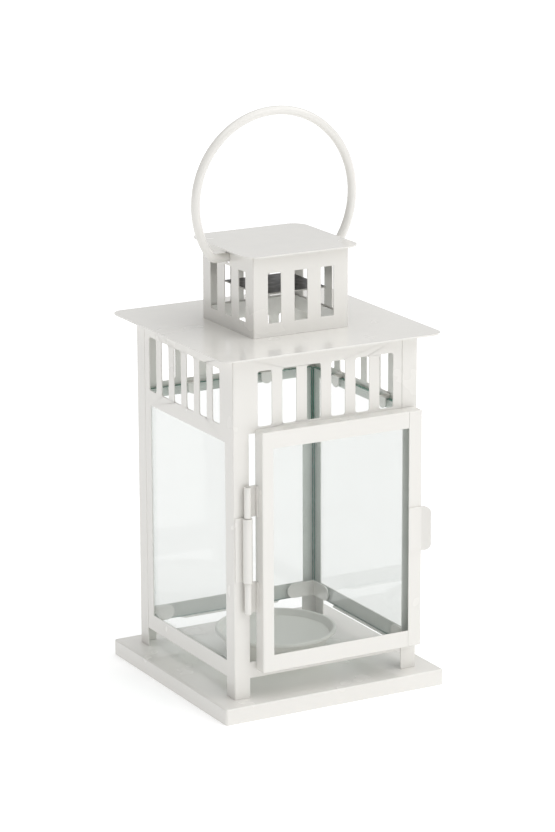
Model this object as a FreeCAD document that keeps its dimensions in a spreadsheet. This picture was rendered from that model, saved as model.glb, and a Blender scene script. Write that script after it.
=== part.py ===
import FreeCAD, Part
import os
import re
import Sketcher

# Candle lantern in painted sheet metal: a tray base, two bent shells with windows and
# slotted bands, a flat roof with a slotted cupola, a glazed door and a ring handle.
# Frame: +X right along the door face, +Y to the back, +Z up, origin under the base centre.
# All sizes are millimetres.

DIMENSIONS = {
    "sheet": 0.8,
    "bend_round": 0.7,
    "base_half": 77.5,
    "base_high": 10.2,
    "base_sheet": 1.0,
    "base_lip": 6.0,
    "base_round": 1.4,
    "body_half": 64.5,
    "leg_wide": 10.7,
    "seam_gap": 0.3,
    "rail_low": 22.8,
    "rail_top": 33.2,
    "window_top": 172.3,
    "doorway_top": 178.4,
    "ledge_half": 37.0,
    "ledge_deep": 4.6,
    "rear_strip": 7.8,
    "slot_wide": 9.8,
    "slot_pitch": 17.0,
    "slot_low": 182.0,
    "slot_top": 216.6,
    "slot_round": 1.7,
    "roof_half": 77.0,
    "roof_top": 228.3,
    "roof_sheet": 1.0,
    "roof_round": 8.5,
    "neck_half": 32.3,
    "neck_high": 7.6,
    "cupola_half": 33.3,
    "cupola_slot_wide": 9.1,
    "cupola_slot_pitch": 18.5,
    "cupola_slot_low": 236.7,
    "cupola_slot_top": 268.1,
    "cap_half": 39.8,
    "cap_top": 280.5,
    "cap_sheet": 0.9,
    "cap_round": 10.0,
    "deflector_half": 23.3,
    "deflector_top": 253.2,
    "deflector_sheet": 1.0,
    "stud_round": 2.0,
    "stud_apart": 9.5,
    "pivot_high": 273.2,
    "pivot_bore": 3.6,
    "rod_round": 2.8,
    "ring_round": 55.0,
    "ring_high": 306.5,
    "ring_bend": 6.0,
    "stub_end": 27.5,
    "glass": 3.0,
    "pane_gap": 0.05,
    "pane_half": 60.65,
    "pane_low": 23.65,
    "pane_top": 178.6,
    "clip_sheet": 0.8,
    "clip_high": 10.0,
    "clip_reach": 20.0,
    "clip_round": 4.9,
    "clip_low": 23.65,
    "finger_wide": 8.0,
    "finger_round": 3.8,
    "finger_low": 172.0,
    "finger_top": 181.6,
    "finger_back": 26.6,
    "finger_side": 29.5,
    "dish_round": 37.6,
    "dish_lip": 1.1,
    "dish_rim": 29.4,
    "dish_floor": 25.4,
    "dish_floor_round": 33.0,
    "dish_waist": 31.4,
    "dish_foot": 28.6,
    "dish_sheet": 1.0,
    "door_left": -49.9,
    "door_seam": 53.1,
    "door_right": 62.3,
    "door_low": 28.2,
    "door_top": 180.8,
    "door_front": 74.6,
    "door_deep": 9.5,
    "stile_wide": 7.6,
    "rail_wide": 10.7,
    "door_clip_x": 34.0,
    "door_clip_half": 4.0,
    "door_clip_sheet": 0.7,
    "door_clip_foot": 4.0,
    "door_clip_lip": 6.0,
    "hinge_x": -56.8,
    "hinge_y": -68.0,
    "pin_round": 1.1,
    "pin_play": 0.05,
    "post_knuckle": 3.0,
    "door_knuckle": 2.2,
    "post_knuckle_low": 85.8,
    "post_knuckle_top": 126.6,
    "knuckle_gap": 0.3,
    "door_knuckle_long": 19.6,
    "leaf_sheet": 0.8,
    "post_leaf_edge": -63.8,
    "door_leaf_tab": 3.2,
    "pull_left": 52.8,
    "pull_sheet": 0.9,
    "pull_low": 90.6,
    "pull_high": 28.4,
    "pull_flat": 9.0,
    "pull_tab": 5.2,
    "pull_slope": 2.9,
    "pull_round": 4.0,
}

SLOTS_PER_BAND = 6
SLOTS_PER_CUPOLA_FACE = 3
TOUCH = 1e-4

doc = FreeCAD.newDocument("candle_lantern")
sheet = doc.addObject("Spreadsheet::Sheet", "dims")
for row, (alias, value) in enumerate(DIMENSIONS.items(), start=1):
    sheet.set("A%d" % row, alias)
    sheet.set("B%d" % row, str(value))
    sheet.setAlias("B%d" % row, alias)
doc.recompute()

nodes = []


def size(alias):
    """Value of one driving dimension, read from the sheet."""
    return float(sheet.get(alias))


def formula(text):
    """Turn a formula written with plain dimension names into one that reads the sheet."""
    return re.sub(r"[a-z_]+", lambda word: "dims." + word.group(0), text)


def value_of(text):
    """Number that such a formula gives."""
    result = sheet.evalExpression(formula(text))
    return float(getattr(result, "Value", result))


def new_body(name):
    body = doc.addObject("PartDesign::Body", name)
    body.Label = name
    nodes.append(body)
    return body


def new_sketch(body, name, role, offset=None):
    """Sketch on one of the body's own origin planes, shifted along the plane's normal."""
    sketch = body.newObject("Sketcher::SketchObject", name)
    plane = [item for item in body.Origin.OriginFeatures if item.Role == role][0]
    sketch.AttachmentSupport = (plane, [""])
    sketch.MapMode = "FlatFace"
    if offset is not None:
        sketch.setExpression("AttachmentOffset.Base.z", formula(offset))
    return sketch


def pin_point(sketch, index, end, point, name):
    """Hold one end of a sketch line at a point given by two formulas."""
    for axis, text in zip("XY", point):
        label = "%s_%s" % (name, axis.lower())
        where = sketch.addConstraint(
            Sketcher.Constraint("Distance" + axis, -1, 1, index, end, value_of(text)))
        sketch.renameConstraint(where, label)
        sketch.setExpression("Constraints." + label, formula(text))


def polygon(body, name, role, points, offset=None):
    """Closed outline of straight lines through points given by formulas."""
    sketch = new_sketch(body, name, role, offset)
    spots = [FreeCAD.Vector(value_of(across), value_of(along), 0) for across, along in points]
    count = len(spots)
    for index in range(count):
        sketch.addGeometry(Part.LineSegment(spots[index], spots[(index + 1) % count]), False)
    for index in range(count):
        sketch.addConstraint(Sketcher.Constraint("Coincident", index, 2, (index + 1) % count, 1))
    for index, point in enumerate(points):
        pin_point(sketch, index, 1, point, "p%d" % index)
    return sketch


def rectangle(body, name, role, left, right, low, high, offset=None):
    corners = [(left, low), (right, low), (right, high), (left, high)]
    return polygon(body, name, role, corners, offset)


def disc(body, name, role, radius, centre, offset=None):
    """Circle of a given radius about a centre, both given by formulas."""
    sketch = new_sketch(body, name, role, offset)
    middle = FreeCAD.Vector(value_of(centre[0]), value_of(centre[1]), 0)
    sketch.addGeometry(Part.Circle(middle, FreeCAD.Vector(0, 0, 1), value_of(radius)), False)
    where = sketch.addConstraint(Sketcher.Constraint("Radius", 0, value_of(radius)))
    sketch.renameConstraint(where, "radius")
    sketch.setExpression("Constraints.radius", formula(radius))
    pin_point(sketch, 0, 3, centre, "centre")
    return sketch


def pad(body, sketch, length, backwards=False):
    feature = body.newObject("PartDesign::Pad", sketch.Name + "_pad")
    feature.Profile = sketch
    feature.setExpression("Length", formula(length))
    feature.Reversed = backwards
    sketch.Visibility = False
    doc.recompute()
    return feature


def pocket(body, sketch, depth, backwards=False):
    """Cut of a given depth; stops the build if it takes nothing away."""
    before = body.Shape.Volume
    feature = body.newObject("PartDesign::Pocket", sketch.Name + "_pocket")
    feature.Profile = sketch
    feature.Type = "Length"
    feature.setExpression("Length", formula(depth))
    feature.Reversed = backwards
    doc.recompute()
    if body.Shape.Volume > before - TOUCH:
        raise RuntimeError("%s cuts nothing" % sketch.Name)
    return feature


def pattern(body, feature, sketch, length, count):
    """Row of copies of a cut along the sketch's horizontal axis."""
    row = body.newObject("PartDesign::LinearPattern", feature.Name + "_row")
    row.Originals = [feature]
    row.Direction = (sketch, ["H_Axis"])
    row.setExpression("Length", formula(length))
    row.Occurrences = count
    body.Tip = row
    doc.recompute()
    return row


def fillet(body, radius, choose):
    """Round every edge of the body that the test picks."""
    base = body.Tip
    names = ["Edge%d" % (i + 1) for i, edge in enumerate(base.Shape.Edges) if choose(edge)]
    if not names:
        raise RuntimeError("no edge to round on %s" % body.Label)
    feature = body.newObject("PartDesign::Fillet", body.Name + "_round%d" % len(body.Group))
    feature.Base = (base, names)
    feature.setExpression("Radius", formula(radius))
    doc.recompute()
    return feature


def runs_along(edge, axis):
    """True for a straight edge parallel to the named axis."""
    if not isinstance(edge.Curve, Part.Line):
        return False
    direction = edge.Vertexes[1].Point - edge.Vertexes[0].Point
    across = [abs(getattr(direction, other)) for other in "xyz" if other != axis]
    return max(across) < TOUCH


def near(number, target):
    return abs(number - target) < 1e-3


def vertical_edge_at(spots):
    """Test for upright edges standing at any of the given (x, y) spots."""
    def choose(edge):
        if not runs_along(edge, "z"):
            return False
        point = edge.Vertexes[0].Point
        return any(near(point.x, x) and near(point.y, y) for x, y in spots)
    return choose


def square_corners(half):
    return [(x, y) for x in (-half, half) for y in (-half, half)]


# ---------------------------------------------------------------- base


def make_base_tray():
    """Inverted tray with a turned-in lip that it stands on."""
    body = new_body("base_tray")
    outline = rectangle(body, "base_outline", "XY_Plane",
                        "-base_half", "base_half", "-base_half", "base_half")
    pad(body, outline, "base_high")
    top = size("base_high")
    half = size("base_half")

    def top_rim(edge):
        flat = all(near(vertex.Z, top) for vertex in edge.Vertexes)
        return flat and len(edge.Vertexes) == 2

    fillet(body, "base_round", vertical_edge_at(square_corners(half)))
    fillet(body, "base_round * 0.7", top_rim)
    inside = "( base_half - base_sheet )"
    hollow = rectangle(body, "base_hollow", "XY_Plane",
                       "-" + inside, inside, "-" + inside, inside, "base_sheet")
    pocket(body, hollow, "base_high - 2 * base_sheet", backwards=True)
    mouth = "( base_half - base_lip )"
    opening = rectangle(body, "base_mouth", "XY_Plane",
                        "-" + mouth, mouth, "-" + mouth, mouth)
    pocket(body, opening, "base_sheet", backwards=True)


# ---------------------------------------------------------------- shells


def slot_band(body, name, role, offset, backwards=False):
    """Row of upright slots with rounded corners through one wall."""
    first = "( -2.5 * slot_pitch - slot_wide / 2 )"
    last = "( -2.5 * slot_pitch + slot_wide / 2 )"
    slot = rectangle(body, name, role, first, last, "slot_low", "slot_top", offset)
    cut = pocket(body, slot, "2 * sheet", backwards)
    pattern(body, cut, slot, "5 * slot_pitch", SLOTS_PER_BAND)


def round_slots(body, axis):
    """Round the short corner edges of the slots cut through walls facing one axis."""
    low = size("slot_low")
    top = size("slot_top")

    def choose(edge):
        if not runs_along(edge, axis):
            return False
        height = edge.Vertexes[0].Z
        return near(edge.Length, size("sheet")) and (near(height, low) or near(height, top))

    fillet(body, "slot_round", choose)


def ledge(body, name, wall):
    """Flange bent inward along the foot of one wall's sill, with slanted ends."""
    root = "( body_half - sheet / 2 )"
    edge = "( body_half - sheet - ledge_deep )"
    short = "( ledge_half - ledge_deep )"
    if wall == "back":
        corners = [("-ledge_half", root), ("ledge_half", root), (short, edge), ("-" + short, edge)]
    else:
        sign = "-" if wall == "left" else ""
        corners = [(sign + root, "-ledge_half"), (sign + root, "ledge_half"),
                   (sign + edge, short), (sign + edge, "-" + short)]
    flange = polygon(body, name, "XY_Plane", corners, "rail_low")
    pad(body, flange, "sheet")


def make_shell_front_left():
    """L-bent sheet: the left wall, the front-left post and the band and sill of the front."""
    body = new_body("shell_front_left")
    end = "( body_half - leg_wide - seam_gap )"
    inner = "-( body_half - sheet )"
    profile = polygon(body, "front_left_profile", "XY_Plane", [
        ("-body_half", "-body_half"), (end, "-body_half"), (end, inner),
        (inner, inner), (inner, end), ("-body_half", end)], "base_high")
    pad(body, profile, "roof_top - roof_sheet - base_high")
    half = size("body_half")
    fillet(body, "bend_round", vertical_edge_at([(-half, -half)]))

    post = "-( body_half - leg_wide )"
    past = "( body_half + 1 )"
    face = "body_half + sheet / 2"
    opening = rectangle(body, "door_opening", "XZ_Plane", post, past,
                        "rail_top", "doorway_top", face)
    pocket(body, opening, "2 * sheet")
    gap = rectangle(body, "front_gap", "XZ_Plane", post, past,
                    "base_high - 1", "rail_low", face)
    pocket(body, gap, "2 * sheet")
    window = rectangle(body, "left_window", "YZ_Plane", post,
                       "body_half - leg_wide - rear_strip",
                       "rail_top", "window_top", "-( %s )" % face)
    pocket(body, window, "2 * sheet", backwards=True)
    under = rectangle(body, "left_gap", "YZ_Plane", post, past,
                      "base_high - 1", "rail_low", "-( %s )" % face)
    pocket(body, under, "2 * sheet", backwards=True)
    ledge(body, "left_ledge", "left")
    slot_band(body, "front_slot", "XZ_Plane", face)
    slot_band(body, "left_slot", "YZ_Plane", "-( %s )" % face, backwards=True)
    round_slots(body, "y")
    round_slots(body, "x")


def make_shell_rear_right():
    """Sheet bent three times: right and back walls with a post strip at each free end."""
    body = new_body("shell_rear_right")
    tip = "( body_half - leg_wide )"
    inner = "( body_half - sheet )"
    profile = polygon(body, "rear_right_profile", "XY_Plane", [
        (tip, "-body_half"), ("body_half", "-body_half"), ("body_half", "body_half"),
        ("-body_half", "body_half"), ("-body_half", tip), ("-" + inner, tip),
        ("-" + inner, inner), (inner, inner), (inner, "-" + inner), (tip, "-" + inner)],
        "base_high")
    pad(body, profile, "roof_top - roof_sheet - base_high")
    half = size("body_half")
    fillet(body, "bend_round", vertical_edge_at([(half, -half), (half, half), (-half, half)]))

    face = "body_half + sheet / 2"
    walls = (("right", "YZ_Plane", face, False), ("back", "XZ_Plane", "-( %s )" % face, True))
    for name, role, offset, backwards in walls:
        window = rectangle(body, name + "_window", role, "-" + tip, tip,
                           "rail_top", "window_top", offset)
        pocket(body, window, "2 * sheet", backwards)
        gap = rectangle(body, name + "_gap", role, "-" + tip, tip,
                        "base_high - 1", "rail_low", offset)
        pocket(body, gap, "2 * sheet", backwards)
        ledge(body, name + "_ledge", name)
        slot_band(body, name + "_slot", role, offset, backwards)
    round_slots(body, "y")
    round_slots(body, "x")


# ---------------------------------------------------------------- roof and cupola


def make_roof_plate():
    """Flat roof with rounded corners and a square neck raised round its vent hole."""
    body = new_body("roof_plate")
    plate = rectangle(body, "roof_outline", "XY_Plane",
                      "-roof_half", "roof_half", "-roof_half", "roof_half",
                      "roof_top - roof_sheet")
    pad(body, plate, "roof_sheet")
    fillet(body, "roof_round", vertical_edge_at(square_corners(size("roof_half"))))
    neck = rectangle(body, "neck_outline", "XY_Plane",
                     "-neck_half", "neck_half", "-neck_half", "neck_half", "roof_top")
    pad(body, neck, "neck_high")
    inside = "( neck_half - sheet )"
    vent = rectangle(body, "vent_hole", "XY_Plane",
                     "-" + inside, inside, "-" + inside, inside, "roof_top - roof_sheet")
    pocket(body, vent, "roof_sheet + neck_high", backwards=True)


def make_cupola_wall():
    """Square chimney with three slots in each face and a pivot hole in two of them."""
    body = new_body("cupola_wall")
    outline = rectangle(body, "cupola_outline", "XY_Plane",
                        "-cupola_half", "cupola_half", "-cupola_half", "cupola_half",
                        "roof_top")
    pad(body, outline, "cap_top - cap_sheet - roof_top")
    fillet(body, "bend_round", vertical_edge_at(square_corners(size("cupola_half"))))
    inside = "( cupola_half - sheet )"
    bore = rectangle(body, "cupola_bore", "XY_Plane",
                     "-" + inside, inside, "-" + inside, inside, "roof_top")
    pocket(body, bore, "cap_top - roof_top", backwards=True)
    first = "( -cupola_slot_pitch - cupola_slot_wide / 2 )"
    last = "( -cupola_slot_pitch + cupola_slot_wide / 2 )"
    for name, role in (("cupola_y", "XZ_Plane"), ("cupola_x", "YZ_Plane")):
        slot = rectangle(body, name + "_slot", role, first, last,
                         "cupola_slot_low", "cupola_slot_top", "-cupola_half - sheet")
        cut = pocket(body, slot, "2 * cupola_half + 2 * sheet", backwards=True)
        pattern(body, cut, slot, "2 * cupola_slot_pitch", SLOTS_PER_CUPOLA_FACE)
    holes = disc(body, "pivot_holes", "YZ_Plane", "pivot_bore", ("0", "pivot_high"),
                 "-cupola_half - sheet")
    pocket(body, holes, "2 * cupola_half + 2 * sheet", backwards=True)


def make_plain_plate(name, half, top, thick, round_corner):
    """Flat square plate, with rounded corners where a radius is given."""
    body = new_body(name)
    plate = rectangle(body, name + "_outline", "XY_Plane",
                      "-" + half, half, "-" + half, half, "%s - %s" % (top, thick))
    pad(body, plate, thick)
    if round_corner:
        fillet(body, round_corner, vertical_edge_at(square_corners(size(half))))


def make_deflector_stud(name, across):
    """Short stud that hangs the heat plate from the cap."""
    body = new_body(name)
    circle = disc(body, name + "_section", "XY_Plane", "stud_round", (across, "0"),
                  "deflector_top")
    pad(body, circle, "cap_top - cap_sheet - deflector_top")


# ---------------------------------------------------------------- ring handle


def make_ring_handle():
    """Round rod bent to a ring whose two ends turn in along the pivot axis."""
    body = new_body("ring_handle")
    ring = size("ring_round")
    bend = size("ring_bend")
    centre_high = size("ring_high")
    pivot = size("pivot_high")
    end = size("stub_end")
    sine = (centre_high - pivot - bend) / (ring - bend)
    cosine = (1 - sine ** 2) ** 0.5
    bend_x = (ring - bend) * cosine

    path = new_sketch(body, "ring_path", "XZ_Plane")
    foot = FreeCAD.Vector(ring * cosine, centre_high - ring * sine, 0)
    top = FreeCAD.Vector(0, centre_high + ring, 0)
    left_foot = FreeCAD.Vector(-foot.x, foot.y, 0)
    path.addGeometry(Part.Arc(foot, top, left_foot), False)
    for side in (-1, 1):
        middle = FreeCAD.Vector(side * bend_x, pivot + bend, 0)
        start = FreeCAD.Vector(side * foot.x, foot.y, 0)
        finish = FreeCAD.Vector(side * bend_x, pivot, 0)
        outward = (start - middle).normalize() + FreeCAD.Vector(0, -1, 0)
        half_way = middle + outward.normalize() * bend
        path.addGeometry(Part.Arc(start, half_way, finish), False)
        path.addGeometry(Part.LineSegment(finish, FreeCAD.Vector(side * end, pivot, 0)), False)
    doc.recompute()

    section = disc(body, "ring_section", "YZ_Plane", "rod_round", ("0", "pivot_high"),
                   "-stub_end")
    pipe = body.newObject("PartDesign::AdditivePipe", "ring_pipe")
    pipe.Profile = section
    pipe.Spine = (path, ["Edge%d" % (i + 1) for i in range(len(path.Shape.Edges))])
    pipe.Mode = "Frenet"
    doc.recompute()


# ---------------------------------------------------------------- glass


def make_pane(name, low_corner, high_corner):
    """Flat pane between two opposite corners given by formulas."""
    body = new_body(name)
    (left, front, low), (right, back, high) = low_corner, high_corner
    outline = rectangle(body, name + "_outline", "XY_Plane", left, right, front, back, low)
    pad(body, outline, "%s - ( %s )" % (high, low))


def make_fixed_panes():
    outside = "( body_half - sheet - pane_gap )"
    inside = "( body_half - sheet - pane_gap - glass )"
    side = "( pane_half - pane_gap )"
    low = "pane_low"
    top = "pane_top"
    make_pane("pane_left", ("-" + outside, "-" + side, low), ("-" + inside, side, top))
    make_pane("pane_right", (inside, "-" + side, low), (outside, side, top))
    make_pane("pane_back", ("-" + side, inside, low), (side, outside, top))


# ---------------------------------------------------------------- pane clips


CLIP_OUTER = "( body_half - sheet - 2 * pane_gap - glass )"
CLIP_INNER = "( body_half - sheet - 2 * pane_gap - glass - clip_sheet )"
CLIP_END = "( body_half - sheet - 2 * pane_gap - glass - clip_reach )"


def make_corner_clip(name, side):
    """Strap bent round the inside of a rear corner, with round ends over two panes."""
    body = new_body(name)
    sign = "-" if side < 0 else ""
    profile = polygon(body, name + "_profile", "XY_Plane", [
        (sign + CLIP_OUTER, CLIP_OUTER), (sign + CLIP_OUTER, CLIP_END),
        (sign + CLIP_INNER, CLIP_END), (sign + CLIP_INNER, CLIP_INNER),
        (sign + CLIP_END, CLIP_INNER), (sign + CLIP_END, CLIP_OUTER)], "clip_low")
    pad(body, profile, "clip_high")
    far = value_of(CLIP_END)

    def end_corner(edge):
        point = edge.Vertexes[0].Point
        on_back_leg = runs_along(edge, "y") and near(abs(point.x), far)
        on_side_leg = runs_along(edge, "x") and near(abs(point.y), far)
        return on_back_leg or on_side_leg

    fillet(body, "clip_round", end_corner)


def make_end_clip(name, side):
    """Strap with a round end that holds the front edge of a side pane."""
    body = new_body(name)
    sign = "-" if side < 0 else ""
    wall = "( body_half - sheet )"
    pane_edge = "-( pane_half + pane_gap )"
    heel = "-( pane_half + clip_sheet + pane_gap )"
    profile = polygon(body, name + "_profile", "XY_Plane", [
        (sign + wall, "-" + wall), (sign + wall, pane_edge), (sign + CLIP_OUTER, pane_edge),
        (sign + CLIP_OUTER, "-" + CLIP_END), (sign + CLIP_INNER, "-" + CLIP_END),
        (sign + CLIP_INNER, heel), (sign + CLIP_OUTER, heel), (sign + CLIP_OUTER, "-" + wall)],
        "clip_low")
    pad(body, profile, "clip_high")
    tip = -value_of(CLIP_END)

    def end_corner(edge):
        return runs_along(edge, "x") and near(edge.Vertexes[0].Y, tip)

    fillet(body, "clip_round", end_corner)


def make_finger_clip(name, wall, centre):
    """Strap that steps from a wall over the pane's top edge and ends in a round tip."""
    body = new_body(name)
    on_back = wall == "back"
    sign = "-" if wall == "left" else ""
    face = "( body_half - sheet )"
    strap = "( body_half - sheet - clip_sheet )"
    step = "pane_top + pane_gap"
    spots = [(face, "finger_top"), (face, step), (CLIP_OUTER, step), (CLIP_OUTER, "finger_low"),
             (CLIP_INNER, "finger_low"), (CLIP_INNER, step + " + clip_sheet"),
             (strap, step + " + clip_sheet"), (strap, "finger_top")]
    start = "( %s - finger_wide / 2 )" % centre
    profile = polygon(body, name + "_profile", "YZ_Plane" if on_back else "XZ_Plane",
                      [(sign + across, height) for across, height in spots],
                      start if on_back else "-" + start)
    pad(body, profile, "finger_wide", backwards=not on_back)
    low = size("finger_low")

    def tip_corner(edge):
        return runs_along(edge, "y" if on_back else "x") and near(edge.Vertexes[0].Z, low)

    fillet(body, "finger_round", tip_corner)


def make_pane_clips():
    for hand, side in (("left", -1), ("right", 1)):
        make_corner_clip("pane_clip_lower_rear_" + hand, side)
        make_end_clip("pane_clip_lower_front_" + hand, side)
    for hand, centre in (("left", "-finger_back"), ("right", "finger_back")):
        make_finger_clip("pane_clip_upper_back_" + hand, "back", centre)
    for wall in ("left", "right"):
        for spot, centre in (("front", "-finger_side"), ("rear", "finger_side")):
            make_finger_clip("pane_clip_upper_%s_%s" % (wall, spot), wall, centre)


# ---------------------------------------------------------------- candle dish


def make_candle_dish():
    """Shallow dish with a beaded rim, raised on a tapered skirt."""
    body = new_body("candle_dish")
    rim_in = "( dish_round - 2 * dish_lip )"
    profile = polygon(body, "dish_profile", "XZ_Plane", [
        ("0", "dish_floor"), ("dish_floor_round", "dish_floor"), (rim_in, "dish_rim"),
        ("dish_round", "dish_rim"), ("dish_round", "dish_rim - 2 * dish_lip"),
        ("dish_floor_round + dish_sheet", "dish_floor - dish_sheet"),
        ("dish_waist", "dish_floor - 6"), ("dish_foot", "base_high"),
        ("dish_foot - dish_sheet", "base_high"),
        ("dish_waist - dish_sheet", "dish_floor - 6"),
        ("dish_waist - dish_sheet", "dish_floor - dish_sheet"),
        ("0", "dish_floor - dish_sheet")])
    turn = body.newObject("PartDesign::Revolution", "dish_turn")
    turn.Profile = profile
    turn.ReferenceAxis = (profile, ["V_Axis"])
    turn.Angle = 360
    doc.recompute()
    top = size("dish_rim")
    under = top - 2 * size("dish_lip")
    radius = size("dish_round")

    def bead(edge):
        if not isinstance(edge.Curve, Part.Circle):
            return False
        height = edge.Curve.Center.z
        on_top = near(height, top)
        on_side = near(height, under) and near(edge.Curve.Radius, radius)
        return on_top or on_side

    fillet(body, "dish_lip * 0.9", bead)


# ---------------------------------------------------------------- door


def make_door_frame():
    """Left stile with top and bottom rails, one angle section mitred round the glass."""
    body = new_body("door_frame")
    outline = rectangle(body, "frame_outline", "XZ_Plane", "door_left", "door_seam",
                        "door_low", "door_top", "door_front")
    pad(body, outline, "door_deep", backwards=True)
    left = size("door_left")
    front = -size("door_front")
    low = size("door_low")
    top = size("door_top")
    past = "( door_seam + 1 )"
    hollow = rectangle(body, "frame_hollow", "XZ_Plane", "door_left + sheet", past,
                       "door_low + sheet", "door_top - sheet", "door_front - sheet")
    pocket(body, hollow, "door_deep", backwards=False)
    light = rectangle(body, "frame_light", "XZ_Plane", "door_left + stile_wide", past,
                      "door_low + rail_wide", "door_top - rail_wide", "door_front")
    pocket(body, light, "door_deep", backwards=False)

    def outer_edge(edge):
        points = [vertex.Point for vertex in edge.Vertexes]
        on_front = all(near(point.y, front) for point in points)
        on_left = all(near(point.x, left) for point in points)
        on_end = any(all(near(point.z, z) for point in points) for z in (low, top))
        return len(points) == 2 and sum((on_front, on_left, on_end)) == 2

    fillet(body, "bend_round", outer_edge)


def make_door_stile_right():
    """Separate strip that closes the door frame on the opening side."""
    body = new_body("door_stile_right")
    start = "( door_seam + 0.1 )"
    outline = rectangle(body, "stile_outline", "XZ_Plane", start, "door_right",
                        "door_low", "door_top", "door_front")
    pad(body, outline, "door_deep", backwards=True)
    right = size("door_right")
    front = -size("door_front")
    low = size("door_low")
    top = size("door_top")
    hollow = rectangle(body, "stile_hollow", "XZ_Plane", "door_seam - 1", "door_right - sheet",
                       "door_low + sheet", "door_top - sheet", "door_front - sheet")
    pocket(body, hollow, "door_deep", backwards=False)

    def outer_edge(edge):
        points = [vertex.Point for vertex in edge.Vertexes]
        on_front = all(near(point.y, front) for point in points)
        on_right = all(near(point.x, right) for point in points)
        on_end = any(all(near(point.z, z) for point in points) for z in (low, top))
        return len(points) == 2 and sum((on_front, on_right, on_end)) == 2

    fillet(body, "bend_round", outer_edge)


def make_door_pane():
    make_pane("pane_door",
              ("door_left + sheet + pane_gap", "-( door_front - sheet - pane_gap )",
               "door_low + sheet + pane_gap"),
              ("door_right - sheet - pane_gap", "-( door_front - sheet - pane_gap - glass )",
               "door_top - sheet - pane_gap"))


def make_door_clip(name, side, flange, inward):
    """Angle whose foot lies on a rail's flange and whose lip holds the pane from behind."""
    body = new_body(name)
    sign = "-" if side < 0 else ""
    pane_rear = "-( door_front - sheet - 2 * pane_gap - glass )"
    lip_rear = pane_rear + " + door_clip_sheet"
    foot_rear = pane_rear + " + door_clip_foot"
    foot_top = "%s %s door_clip_sheet" % (flange, inward)
    lip_end = "%s %s door_clip_lip" % (flange, inward)
    profile = polygon(body, name + "_profile", "YZ_Plane", [
        (pane_rear, flange), (foot_rear, flange), (foot_rear, foot_top),
        (lip_rear, foot_top), (lip_rear, lip_end), (pane_rear, lip_end)],
        "( %sdoor_clip_x - door_clip_half )" % sign)
    pad(body, profile, "2 * door_clip_half")


def make_door_clips():
    for level, flange, inward in (("lower", "door_low + sheet", "+"),
                                  ("upper", "door_top - sheet", "-")):
        for hand, side in (("left", -1), ("right", 1)):
            make_door_clip("pane_clip_door_%s_%s" % (level, hand), side, flange, inward)


def round_corner(body, name, corner, inward):
    """Cut one outer corner of the pull to an arc; inward is +1 for the lower corner."""
    across, height = corner
    centre_x = across + " - pull_round"
    centre_z = "%s %s pull_round" % (height, "+" if inward > 0 else "-")
    spots = [(across, centre_z), (across, height), (centre_x, height)]
    sketch = new_sketch(body, name, "XZ_Plane", "door_front - sheet")
    points = [FreeCAD.Vector(value_of(x), value_of(z), 0) for x, z in spots]
    radius = size("pull_round")
    centre = FreeCAD.Vector(points[2].x, points[0].y, 0)
    swell = FreeCAD.Vector(1, -inward, 0).normalize() * radius
    sketch.addGeometry(Part.LineSegment(points[0], points[1]), False)
    sketch.addGeometry(Part.LineSegment(points[1], points[2]), False)
    sketch.addGeometry(Part.Arc(points[2], centre + swell, points[0]), False)
    sketch.addConstraint(Sketcher.Constraint("Coincident", 0, 2, 1, 1))
    for index, end, spot in ((0, 1, 0), (1, 1, 1), (1, 2, 2)):
        pin_point(sketch, index, end, spots[spot], "p%d" % spot)
    arc_ends = {1: 0, 2: 0}
    for end in (1, 2):
        point = sketch.getPoint(2, end)
        arc_ends[end] = 0 if near(point.x, points[0].x) and near(point.y, points[0].y) else 1
    for end, line in arc_ends.items():
        sketch.addConstraint(Sketcher.Constraint("Coincident", 2, end, line, line + 1))
    where = sketch.addConstraint(Sketcher.Constraint("Radius", 2, radius))
    sketch.renameConstraint(where, "radius")
    sketch.setExpression("Constraints.radius", formula("pull_round"))
    pocket(body, sketch, "2 * pull_slope + 4 * pull_sheet", backwards=True)


def make_door_pull():
    """Flat plate on the stile whose free end is bent forward, with round corners."""
    body = new_body("door_pull")
    bend = "( pull_left + pull_flat )"
    tip = "( pull_left + pull_flat + pull_tab )"
    profile = polygon(body, "pull_profile", "XY_Plane", [
        ("pull_left", "-door_front"), ("pull_left", "-door_front - pull_sheet"),
        (bend, "-door_front - pull_sheet"),
        (tip, "-door_front - pull_sheet - pull_slope"),
        (tip, "-door_front - pull_slope"), (bend, "-door_front")], "pull_low")
    pad(body, profile, "pull_high")
    round_corner(body, "pull_lower_corner", (tip, "pull_low"), 1)
    round_corner(body, "pull_upper_corner", (tip, "( pull_low + pull_high )"), -1)


# ---------------------------------------------------------------- hinge


def barrel(body, name, radius, low, length):
    ring = disc(body, name, "XY_Plane", radius, ("hinge_x", "hinge_y"), low)
    pad(body, ring, length)


def bore(body, name, radius, low, length):
    hole = disc(body, name, "XY_Plane", radius, ("hinge_x", "hinge_y"), low)
    pocket(body, hole, length, backwards=True)


def make_hinge_post_leaf():
    """Leaf on the front-left post with the middle knuckle."""
    body = new_body("hinge_post_leaf")
    long = "( post_knuckle_top - post_knuckle_low )"
    leaf = rectangle(body, "post_leaf", "XY_Plane", "post_leaf_edge", "hinge_x",
                     "-body_half - leaf_sheet", "-body_half", "post_knuckle_low")
    pad(body, leaf, long)
    barrel(body, "post_barrel", "post_knuckle", "post_knuckle_low", long)
    bore(body, "post_bore", "pin_round", "post_knuckle_low", long)


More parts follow.
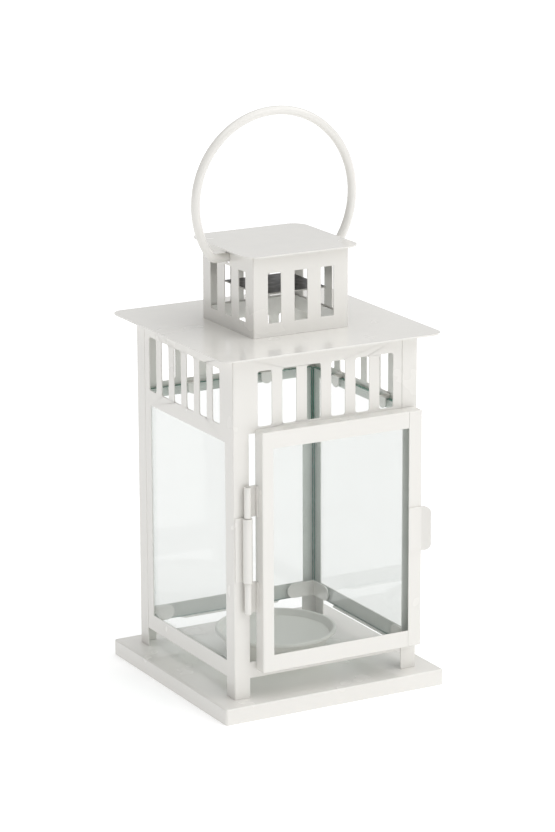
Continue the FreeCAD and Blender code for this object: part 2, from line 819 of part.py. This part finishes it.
def make_hinge_door_leaf(name, low):
    """Door leaf: a small knuckle, a strap to the stile and a tab laid on its side."""
    body = new_body(name)
    back = "( hinge_y + door_knuckle )"
    strap = polygon(body, name + "_strap", "XY_Plane", [
        ("hinge_x", back), ("door_left", back), ("door_left", back + " - door_leaf_tab"),
        ("door_left - leaf_sheet", back + " - door_leaf_tab"),
        ("door_left - leaf_sheet", back + " - leaf_sheet"),
        ("hinge_x", back + " - leaf_sheet")], low)
    pad(body, strap, "door_knuckle_long")
    barrel(body, name + "_barrel", "door_knuckle", low, "door_knuckle_long")
    bore(body, name + "_bore", "pin_round + pin_play", low, "door_knuckle_long")


def make_hinge_pin():
    body = new_body("hinge_pin")
    low = "( post_knuckle_low - knuckle_gap - door_knuckle_long )"
    high = "( post_knuckle_top + knuckle_gap + door_knuckle_long )"
    rod = disc(body, "pin_section", "XY_Plane", "pin_round", ("hinge_x", "hinge_y"), low)
    pad(body, rod, "%s - %s" % (high, low))


make_base_tray()
make_shell_front_left()
make_shell_rear_right()
make_roof_plate()
make_cupola_wall()
make_plain_plate("cupola_cap", "cap_half", "cap_top", "cap_sheet", "cap_round")
make_plain_plate("heat_deflector", "deflector_half", "deflector_top", "deflector_sheet", None)
make_deflector_stud("deflector_stud_left", "-stud_apart")
make_deflector_stud("deflector_stud_right", "stud_apart")
make_ring_handle()
make_fixed_panes()
make_pane_clips()
make_candle_dish()
make_door_frame()
make_door_stile_right()
make_door_pane()
make_door_clips()
make_door_pull()
make_hinge_post_leaf()
make_hinge_door_leaf("hinge_door_leaf_lower",
                     "( post_knuckle_low - knuckle_gap - door_knuckle_long )")
make_hinge_door_leaf("hinge_door_leaf_upper", "( post_knuckle_top + knuckle_gap )")
make_hinge_pin()
doc.recompute()

for item in doc.Objects:
    if any(state in ("Invalid", "Error") for state in item.State):
        raise RuntimeError("%s failed: %s" % (item.Name, item.State))
for body in nodes:
    if body.Shape.isNull() or not body.Shape.isValid():
        raise RuntimeError("%s has no valid shape" % body.Label)
    if len(body.Shape.Solids) != 1:
        raise RuntimeError("%s is %d solids" % (body.Label, len(body.Shape.Solids)))

os.makedirs("parts", exist_ok=True)
for body in nodes:
    body.Shape.exportStep("parts/%s.step" % body.Label)
    box = body.Shape.BoundBox
    print("%-28s x %.1f %.1f  y %.1f %.1f  z %.1f %.1f  volume %.0f" % (
        body.Label, box.XMin, box.XMax, box.YMin, box.YMax, box.ZMin, box.ZMax,
        body.Shape.Volume))
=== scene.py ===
import math

import bmesh
import bpy
from mathutils import Matrix, Vector


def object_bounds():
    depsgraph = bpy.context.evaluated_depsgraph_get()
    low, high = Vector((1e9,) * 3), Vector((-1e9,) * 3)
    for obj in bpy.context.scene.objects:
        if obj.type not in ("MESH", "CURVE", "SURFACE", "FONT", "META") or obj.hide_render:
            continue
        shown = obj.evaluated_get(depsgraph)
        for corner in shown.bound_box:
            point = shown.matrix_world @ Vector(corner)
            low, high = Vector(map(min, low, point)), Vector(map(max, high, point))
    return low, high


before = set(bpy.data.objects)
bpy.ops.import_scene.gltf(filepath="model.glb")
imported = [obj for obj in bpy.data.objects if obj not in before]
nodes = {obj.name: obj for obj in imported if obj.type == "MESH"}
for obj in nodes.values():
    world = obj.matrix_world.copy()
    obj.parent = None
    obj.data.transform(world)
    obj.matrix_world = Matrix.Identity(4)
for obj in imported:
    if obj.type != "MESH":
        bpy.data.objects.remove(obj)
cad_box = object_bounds()
scene = bpy.context.scene

# ---------------------------------------------------------------- node helpers


def new_material(name):
    """Empty node material: returns it with its tree and its output node."""
    material = bpy.data.materials.new(name)
    material.use_nodes = True
    tree = material.node_tree
    tree.nodes.clear()
    output = tree.nodes.new("ShaderNodeOutputMaterial")
    return material, tree, output


def place_in_object(tree):
    """Coordinates in metres, fixed to the piece."""
    return tree.nodes.new("ShaderNodeTexCoord").outputs["Object"]


def noise(tree, where, scale, detail=2.0, rough=0.5):
    """Noise value at a coordinate."""
    node = tree.nodes.new("ShaderNodeTexNoise")
    node.inputs["Scale"].default_value = scale
    node.inputs["Detail"].default_value = detail
    node.inputs["Roughness"].default_value = rough
    tree.links.new(where, node.inputs["Vector"])
    return node.outputs["Fac"]


def remap(tree, value, low, high, to_low, to_high):
    """Value moved from one range to another."""
    node = tree.nodes.new("ShaderNodeMapRange")
    node.inputs["From Min"].default_value = low
    node.inputs["From Max"].default_value = high
    node.inputs["To Min"].default_value = to_low
    node.inputs["To Max"].default_value = to_high
    tree.links.new(value, node.inputs["Value"])
    return node.outputs["Result"]


def blend_colours(tree, factor, first, second):
    """Mix of two colours, each a tuple or the output of another node."""
    node = tree.nodes.new("ShaderNodeMix")
    node.data_type = "RGBA"
    tree.links.new(factor, node.inputs["Factor"])
    for socket, colour in (("A", first), ("B", second)):
        target = [item for item in node.inputs if item.name == socket and item.type == "RGBA"][0]
        if isinstance(colour, tuple):
            target.default_value = (*colour, 1.0)
        else:
            tree.links.new(colour, target)
    return [item for item in node.outputs if item.type == "RGBA"][0]


def bump(tree, height, strength, distance):
    """Normal disturbed by a height value."""
    node = tree.nodes.new("ShaderNodeBump")
    node.inputs["Strength"].default_value = strength
    node.inputs["Distance"].default_value = distance
    tree.links.new(height, node.inputs["Height"])
    return node.outputs["Normal"]


def facing(tree, axis, limit=0.5):
    """1 where the surface faces along the named axis, 0 on the narrow edge faces."""
    geometry = tree.nodes.new("ShaderNodeNewGeometry")
    split = tree.nodes.new("ShaderNodeSeparateXYZ")
    tree.links.new(geometry.outputs["True Normal"], split.inputs[0])
    size = tree.nodes.new("ShaderNodeMath")
    size.operation = "ABSOLUTE"
    tree.links.new(split.outputs[axis], size.inputs[0])
    over = tree.nodes.new("ShaderNodeMath")
    over.operation = "GREATER_THAN"
    over.inputs[1].default_value = limit
    tree.links.new(size.outputs[0], over.inputs[0])
    return over.outputs[0]


def shader(tree, **values):
    """Principled node with these fixed values on its own sockets."""
    node = tree.nodes.new("ShaderNodeBsdfPrincipled")
    for name, value in values.items():
        node.inputs[name.replace("_", " ")].default_value = value
    return node


# ---------------------------------------------------------------- materials


def enamel(name, colour, shade, rough=(0.20, 0.28), coat=0.5):
    """Sprayed enamel: faint cloudiness, a trace of dust and fine orange peel."""
    material, tree, output = new_material(name)
    where = place_in_object(tree)
    surface = shader(tree, IOR=1.5, Coat_Weight=coat, Coat_Roughness=0.045)
    cloud = remap(tree, noise(tree, where, 18.0, 3.0, 0.5), 0.3, 0.7, 0.0, 1.0)
    dust = remap(tree, noise(tree, where, 2600.0, 1.0), 0.55, 0.9, 0.0, 0.25)
    body = blend_colours(tree, cloud, colour, shade)
    dusted = blend_colours(tree, dust, body, tuple(0.94 * part for part in shade))
    tree.links.new(dusted, surface.inputs["Base Color"])
    tree.links.new(remap(tree, noise(tree, where, 40.0, 2.0), 0.3, 0.7, *rough),
                   surface.inputs["Roughness"])
    peel = bump(tree, noise(tree, where, 520.0, 1.0), 0.035, 0.0002)
    tree.links.new(peel, surface.inputs["Normal"])
    tree.links.new(surface.outputs["BSDF"], output.inputs["Surface"])
    return material


def window_glass(name, thin_axis):
    """Clear float glass whose narrow faces look deep green, and which lets lamp light in."""
    material, tree, output = new_material(name)
    where = place_in_object(tree)
    clear = shader(tree, IOR=1.5, Transmission_Weight=1.0, Roughness=0.0)
    clear.inputs["Base Color"].default_value = (0.845, 0.855, 0.847, 1.0)
    ripple = bump(tree, noise(tree, where, 14.0, 1.0), 0.05, 0.0004)
    tree.links.new(ripple, clear.inputs["Normal"])
    open_to_lamps = tree.nodes.new("ShaderNodeBsdfTransparent")
    open_to_lamps.inputs["Color"].default_value = (0.93, 0.955, 0.95, 1.0)
    path = tree.nodes.new("ShaderNodeLightPath")
    either = tree.nodes.new("ShaderNodeMath")
    either.operation = "MAXIMUM"
    tree.links.new(path.outputs["Is Shadow Ray"], either.inputs[0])
    tree.links.new(path.outputs["Is Diffuse Ray"], either.inputs[1])
    pane = tree.nodes.new("ShaderNodeMixShader")
    tree.links.new(either.outputs[0], pane.inputs["Fac"])
    tree.links.new(clear.outputs["BSDF"], pane.inputs[1])
    tree.links.new(open_to_lamps.outputs["BSDF"], pane.inputs[2])

    edge = shader(tree, IOR=1.5, Coat_Weight=0.5, Coat_Roughness=0.05)
    tint = remap(tree, noise(tree, where, 160.0, 3.0), 0.3, 0.7, 0.0, 1.0)
    tree.links.new(blend_colours(tree, tint, (0.03, 0.15, 0.105), (0.10, 0.29, 0.225)),
                   edge.inputs["Base Color"])
    tree.links.new(remap(tree, noise(tree, where, 300.0), 0.3, 0.7, 0.15, 0.35),
                   edge.inputs["Roughness"])
    whole = tree.nodes.new("ShaderNodeMixShader")
    tree.links.new(facing(tree, thin_axis), whole.inputs["Fac"])
    tree.links.new(edge.outputs["BSDF"], whole.inputs[1])
    tree.links.new(pane.outputs["Shader"], whole.inputs[2])
    tree.links.new(whole.outputs["Shader"], output.inputs["Surface"])
    return material


def heat_plate():
    """Black stoved plate with a faint heat bloom; its narrow cut edge is bare metal, and its
    light grey is partly a painted highlight for the light that edge catches.
    """
    material, tree, output = new_material("heat_plate_black")
    where = place_in_object(tree)
    surface = shader(tree, IOR=1.5, Coat_Weight=0.2, Coat_Roughness=0.25)
    bloom = remap(tree, noise(tree, where, 70.0, 4.0, 0.65), 0.35, 0.7, 0.0, 1.0)
    black = blend_colours(tree, bloom, (0.018, 0.018, 0.02), (0.05, 0.05, 0.055))
    top = facing(tree, "Z")
    # Faces not turned up get light grey: bare cut metal, and partly a painted highlight where
    # the edge catches the light.
    tree.links.new(blend_colours(tree, top, (0.62, 0.61, 0.58), black),
                   surface.inputs["Base Color"])
    tree.links.new(remap(tree, noise(tree, where, 240.0, 3.0), 0.3, 0.7, 0.3, 0.5),
                   surface.inputs["Roughness"])
    tree.links.new(bump(tree, noise(tree, where, 1200.0, 2.0), 0.2, 0.0001),
                   surface.inputs["Normal"])
    tree.links.new(surface.outputs["BSDF"], output.inputs["Surface"])
    return material


def turned_steel():
    """Bright drawn steel with fine rings round the upright axis."""
    material, tree, output = new_material("turned_steel")
    where = place_in_object(tree)
    surface = shader(tree, Metallic=1.0)
    stretch = tree.nodes.new("ShaderNodeMapping")
    stretch.inputs["Scale"].default_value = (60.0, 60.0, 2400.0)
    tree.links.new(where, stretch.inputs["Vector"])
    rings = noise(tree, stretch.outputs["Vector"], 1.0, 3.0)
    tree.links.new(blend_colours(tree, rings, (0.50, 0.50, 0.49), (0.66, 0.65, 0.63)),
                   surface.inputs["Base Color"])
    tree.links.new(remap(tree, rings, 0.3, 0.7, 0.25, 0.42), surface.inputs["Roughness"])
    tree.links.new(bump(tree, rings, 0.15, 0.00005), surface.inputs["Normal"])
    tree.links.new(surface.outputs["BSDF"], output.inputs["Surface"])
    return material


WHITE = (0.805, 0.79, 0.755)
WHITE_SHADE = (0.79, 0.775, 0.738)
DISH_GREY = (0.79, 0.775, 0.73)
DISH_SHADE = (0.765, 0.75, 0.705)

white = enamel("white_enamel", WHITE, WHITE_SHADE)
dish_grey = enamel("dish_grey_enamel", DISH_GREY, DISH_SHADE, rough=(0.34, 0.46), coat=0.15)
glass_x = window_glass("pane_glass_side", "X")
glass_y = window_glass("pane_glass_front", "Y")
steel = turned_steel()

finish_of = {
    "candle_dish": dish_grey,
    "heat_deflector": heat_plate(),
    "deflector_stud_left": steel,
    "deflector_stud_right": steel,
    "hinge_pin": steel,
    "pane_left": glass_x,
    "pane_right": glass_x,
    "pane_back": glass_y,
    "pane_door": glass_y,
}
for name, node in nodes.items():
    for slot in node.material_slots:
        slot.link = "OBJECT"
        slot.material = finish_of.get(name, white)

# ---------------------------------------------------------------- edges

GLASS_ARRIS = 0.00025
SHEET_ARRIS = 0.00018
ARRIS_ANGLE = 40
WELD_DISTANCE = 0.000002
ROUND_NODES = ("ring_handle", "candle_dish")


def soften(node, width):
    """Small rounded arrises, so that edges catch the light."""
    weld = node.modifiers.new("weld", "WELD")
    weld.merge_threshold = WELD_DISTANCE
    bevel = node.modifiers.new("arris", "BEVEL")
    bevel.width = width
    bevel.segments = 2
    bevel.limit_method = "ANGLE"
    bevel.angle_limit = math.radians(ARRIS_ANGLE)


for name, node in nodes.items():
    if name in ROUND_NODES:
        continue
    soften(node, GLASS_ARRIS if name.startswith("pane_") and "clip" not in name else SHEET_ARRIS)

# ---------------------------------------------------------------- studio

FLOOR_REACH = 30.0
FLOOR_GLOW = 0.27
SKY_PLACE = (0.7, -0.65, 2.6)
SKY_SPREAD = 90.0
SKY_STRENGTH = 2.0
WORLD_STRENGTH = 0.4
SOFT_BOXES = (
    ("front_box", (1.2, -2.4, 1.3), 1.2, 1.6, 8.0),
    ("back_box", (1.3, 2.1, 0.95), 1.4, 0.7, 0.8),
)


def plain_floor(reach):
    """White ground that glows a little, so that the shadow on it stays faint."""
    mesh = bpy.data.meshes.new("floor")
    builder = bmesh.new()
    corners = [builder.verts.new((x * reach, y * reach, 0.0))
               for x, y in ((-1, -1), (1, -1), (1, 1), (-1, 1))]
    builder.faces.new(corners)
    builder.to_mesh(mesh)
    builder.free()
    floor = bpy.data.objects.new("floor", mesh)
    scene.collection.objects.link(floor)
    material, tree, output = new_material("floor_white")
    where = place_in_object(tree)
    surface = shader(tree, Specular_IOR_Level=0.2, Roughness=0.75, Emission_Strength=FLOOR_GLOW)
    surface.inputs["Emission Color"].default_value = (1.0, 1.0, 1.0, 1.0)
    grain = remap(tree, noise(tree, where, 6.0, 3.0), 0.3, 0.7, 0.0, 1.0)
    tree.links.new(blend_colours(tree, grain, (0.93, 0.93, 0.93), (0.945, 0.945, 0.945)),
                   surface.inputs["Base Color"])
    tree.links.new(surface.outputs["BSDF"], output.inputs["Surface"])
    mesh.materials.append(material)


def aim(item, place, target):
    """Put a lamp at a place, facing a target."""
    item.location = place
    item.rotation_mode = "QUATERNION"
    item.rotation_quaternion = (Vector(target) - Vector(place)).to_track_quat("-Z", "Y")


def soft_box(name, place, target, width, height, power):
    """Rectangular lamp of a given size in metres and power in watts."""
    lamp = bpy.data.lights.new(name, "AREA")
    lamp.shape = "RECTANGLE"
    lamp.size = width
    lamp.size_y = height
    lamp.energy = power
    holder = bpy.data.objects.new(name, lamp)
    scene.collection.objects.link(holder)
    aim(holder, place, target)


def soft_sky(name, place, target, spread, strength):
    """Very wide distant lamp, even over the whole floor."""
    lamp = bpy.data.lights.new(name, "SUN")
    lamp.angle = math.radians(spread)
    lamp.energy = strength
    holder = bpy.data.objects.new(name, lamp)
    scene.collection.objects.link(holder)
    aim(holder, place, target)


lowest, highest = cad_box
middle = (lowest + highest) / 2
plain_floor(FLOOR_REACH)
soft_sky("key_sky", SKY_PLACE, middle, SKY_SPREAD, SKY_STRENGTH)
for lamp_name, place, width, height, power in SOFT_BOXES:
    soft_box(lamp_name, place, middle, width, height, power)

world = bpy.data.worlds.new("studio")
scene.world = world
world.use_nodes = True
background = world.node_tree.nodes["Background"]
background.inputs["Color"].default_value = (1.0, 1.0, 1.0, 1.0)
background.inputs["Strength"].default_value = WORLD_STRENGTH

# ---------------------------------------------------------------- camera

CAMERA_PLACE = (-0.97571, -1.78489, 0.71375)
CAMERA_AZIMUTH = -28.697
CAMERA_ELEVATION = 15.028
CAMERA_ROLL = -0.235
CAMERA_LENS = 145.23


def photo_camera():
    """Long-lens camera held at the fixed place and angles above."""
    turn = math.radians(CAMERA_AZIMUTH)
    rise = math.radians(CAMERA_ELEVATION)
    back = Vector((math.sin(turn) * math.cos(rise), -math.cos(turn) * math.cos(rise),
                   math.sin(rise)))
    level = Vector((0, 0, 1)).cross(back).normalized()
    upright = back.cross(level)
    roll = math.radians(CAMERA_ROLL)
    right = level * math.cos(roll) + upright * math.sin(roll)
    up = upright * math.cos(roll) - level * math.sin(roll)
    data = bpy.data.cameras.new("photo_camera")
    data.sensor_width = 36.0
    data.lens = CAMERA_LENS
    data.clip_start = 0.05
    data.clip_end = 100.0
    holder = bpy.data.objects.new("photo_camera", data)
    scene.collection.objects.link(holder)
    axes = Matrix((right, up, back)).transposed().to_4x4()
    holder.matrix_world = Matrix.Translation(CAMERA_PLACE) @ axes
    scene.camera = holder


photo_camera()
scene.view_settings.view_transform = "Standard"
